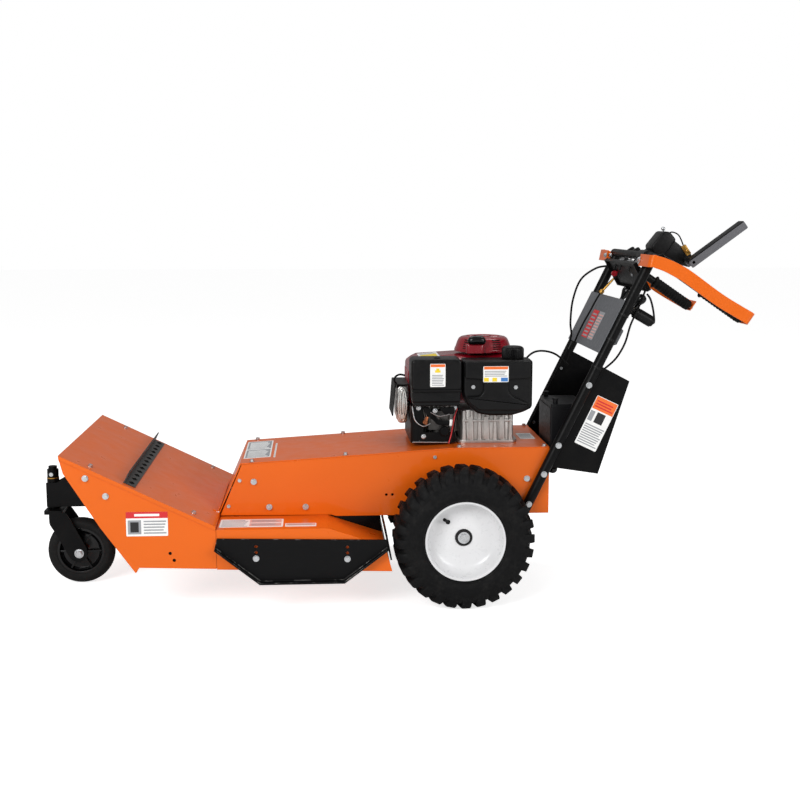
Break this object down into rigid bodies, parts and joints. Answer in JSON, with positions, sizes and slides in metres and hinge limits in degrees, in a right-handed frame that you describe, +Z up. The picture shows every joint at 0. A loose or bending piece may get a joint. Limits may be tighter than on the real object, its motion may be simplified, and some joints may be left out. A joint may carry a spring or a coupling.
{
  "type": "brush mower",
  "caption": "Walk-behind brush mower with a sloping hood over the blade deck, a front caster, two lugged drive wheels, an upright-shaft engine and a leaning operator handle.",
  "frame": {"origin": "on the ground at the middle of the footprint box", "axes": "+X to the operator at the rear, +Y to the machine's right, +Z up"},
  "size_m": [2.0696, 0.772, 1.1009],
  "materials": {
    "orange_paint": "gloss",
    "black_paint": "satin",
    "grey_paint": "matt",
    "white_paint": "gloss",
    "red_paint": "gloss",
    "zinc": "satin",
    "cast_alloy": "cast",
    "hot_steel": "satin",
    "blade_steel": "satin",
    "black_plastic": "matt",
    "red_plastic": "matt",
    "grey_plastic": "matt",
    "rubber": "matt",
    "tyre_rubber": "matt"
  },
  "bodies": {
    "chassis": {"frame_sides": "orange_paint", "frame_crossmembers": "black_paint", "engine_deck_plate": "orange_paint", "belt_cover": "orange_paint", "mower_deck": "orange_paint", "hood_top": "orange_paint", "hood_sides": "orange_paint", "grip_bar": "zinc", "skid_shoes": "black_paint", "rear_flap": "black_paint", "caster_bracket": "black_paint", "engine_crankcase": "cast_alloy", "fan_cover": "red_paint", "recoil_housing": "red_plastic", "fuel_tank": "black_plastic", "air_cleaner_cover": "black_plastic", "carburettor": "cast_alloy", "engine_shroud": "black_paint", "muffler": "hot_steel", "muffler_guard": "black_paint", "belts": "rubber", "spindle_housing": "cast_alloy", "idler_spring": "zinc", "transaxle": "cast_alloy", "handle_tubes": "black_paint", "handlebar": "black_paint", "hand_grips": "rubber", "hand_guards": "orange_paint", "battery_tray": "black_paint", "battery": "grey_plastic", "control_cover": "grey_paint", "dash_panel": "black_paint", "control_housing": "black_plastic", "vapour_canister": "black_plastic", "control_cables": "rubber", "zinc_bolts": "zinc"},
    "fuel_cap": {"fuel_cap": "black_plastic"},
    "recoil_grip": {"recoil_grip": "black_plastic"},
    "crankshaft": {"crankshaft_pulley": "zinc"},
    "blade_spindle": {"spindle_shaft": "zinc", "spindle_pulley": "zinc", "blade": "blade_steel"},
    "idler_arm": {"idler_arm": "black_paint"},
    "idler_pulley": {"idler_pulley": "zinc"},
    "transaxle_input": {"transaxle_pulley": "black_plastic"},
    "drive_wheel_left": {"tyre_left": "tyre_rubber", "rim_left": "white_paint"},
    "drive_wheel_right": {"tyre_right": "tyre_rubber", "rim_right": "white_paint"},
    "caster_fork": {"caster_fork": "black_paint", "lynch_pin": "zinc"},
    "caster_wheel": {"caster_tyre": "rubber", "caster_hub": "black_plastic"},
    "throttle_lever": {"throttle_lever": "red_plastic"},
    "ignition_key": {"ignition_key": "zinc"},
    "blade_lever": {"blade_lever": "black_plastic"},
    "brake_lever": {"brake_lever": "black_plastic"},
    "presence_paddle": {"presence_paddle": "black_paint"},
    "speed_lever": {"speed_lever": "grey_plastic"},
    "bypass_rod": {"bypass_rod": "black_plastic"}
  },
  "joints": [
    {"name": "left_wheel_spin", "type": "hinge", "parent": "chassis", "child": "drive_wheel_left", "pos_m": [0.205, -0.3, 0.203], "axis": [0, 1, 0], "continuous": true},
    {"name": "right_wheel_spin", "type": "hinge", "parent": "chassis", "child": "drive_wheel_right", "pos_m": [0.205, 0.3, 0.203], "axis": [0, 1, 0], "continuous": true},
    {"name": "caster_swivel", "type": "hinge", "parent": "chassis", "child": "caster_fork", "pos_m": [-1.014, 0, 0.28], "axis": [0, 0, 1], "continuous": true},
    {"name": "caster_spin", "type": "hinge", "parent": "caster_fork", "child": "caster_wheel", "pos_m": [-0.935, 0, 0.1015], "axis": [0, 1, 0], "continuous": true},
    {"name": "blade_spin", "type": "hinge", "parent": "chassis", "child": "blade_spindle", "pos_m": [-0.35, 0, 0.25], "axis": [0, 0, 1], "continuous": true},
    {"name": "crank_spin", "type": "hinge", "parent": "chassis", "child": "crankshaft", "pos_m": [0.3, 0, 0.36], "axis": [0, 0, 1], "continuous": true},
    {"name": "transaxle_input_spin", "type": "hinge", "parent": "chassis", "child": "transaxle_input", "pos_m": [0.11, 0, 0.3], "axis": [0, 0, 1], "continuous": true},
    {"name": "idler_arm_swing", "type": "hinge", "parent": "chassis", "child": "idler_arm", "pos_m": [0.1, 0.16, 0.36], "axis": [0, 0, -1], "range_deg": [0, 15], "stiffness_Nm_per_rad": 5},
    {"name": "idler_pulley_spin", "type": "hinge", "parent": "idler_arm", "child": "idler_pulley", "pos_m": [0, 0.112, 0.362], "axis": [0, 0, 1], "continuous": true},
    {"name": "fuel_cap_turn", "type": "hinge", "parent": "chassis", "child": "fuel_cap", "pos_m": [0.371, -0.122, 0.7], "axis": [0, 0, 1], "range_deg": [0, 90]},
    {"name": "recoil_pull", "type": "slide", "parent": "chassis", "child": "recoil_grip", "axis": [0, -1, 0], "range_m": [0, 0.05], "stiffness_N_per_m": 60},
    {"name": "throttle_tilt", "type": "hinge", "parent": "chassis", "child": "throttle_lever", "pos_m": [0.7308, 0.13, 0.9347], "axis": [0, 1, 0], "range_deg": [-12, 30]},
    {"name": "key_turn", "type": "hinge", "parent": "chassis", "child": "ignition_key", "pos_m": [0.74306, -0.06, 0.9415], "axis": [0.8746, 0, 0.4848], "range_deg": [0, 60]},
    {"name": "blade_lever_tilt", "type": "hinge", "parent": "chassis", "child": "blade_lever", "pos_m": [0.668, 0, 0.768], "axis": [0, -1, 0], "range_deg": [0, 18]},
    {"name": "brake_lever_tilt", "type": "hinge", "parent": "chassis", "child": "brake_lever", "pos_m": [0.668, -0.12, 0.768], "axis": [0, -1, 0], "range_deg": [0, 24]},
    {"name": "presence_press", "type": "hinge", "parent": "chassis", "child": "presence_paddle", "pos_m": [0.862, -0.258, 0.984], "axis": [0, 1, 0], "range_deg": [0, 70], "stiffness_Nm_per_rad": 4, "springref_deg": -11.46},
    {"name": "speed_lever_tilt", "type": "hinge", "parent": "chassis", "child": "speed_lever", "pos_m": [0.822, -0.15, 1.036], "axis": [0, 1, 0], "range_deg": [0, 28]},
    {"name": "bypass_pull", "type": "slide", "parent": "chassis", "child": "bypass_rod", "axis": [1, 0, 0], "range_m": [0, 0.02]}
  ],
  "couplings": [
    {"joint": "crank_spin", "follows": "blade_spin", "ratio": 1.3333},
    {"joint": "transaxle_input_spin", "follows": "blade_spin", "ratio": 1.0256},
    {"joint": "idler_pulley_spin", "follows": "blade_spin", "ratio": -2.2361}
  ]
}
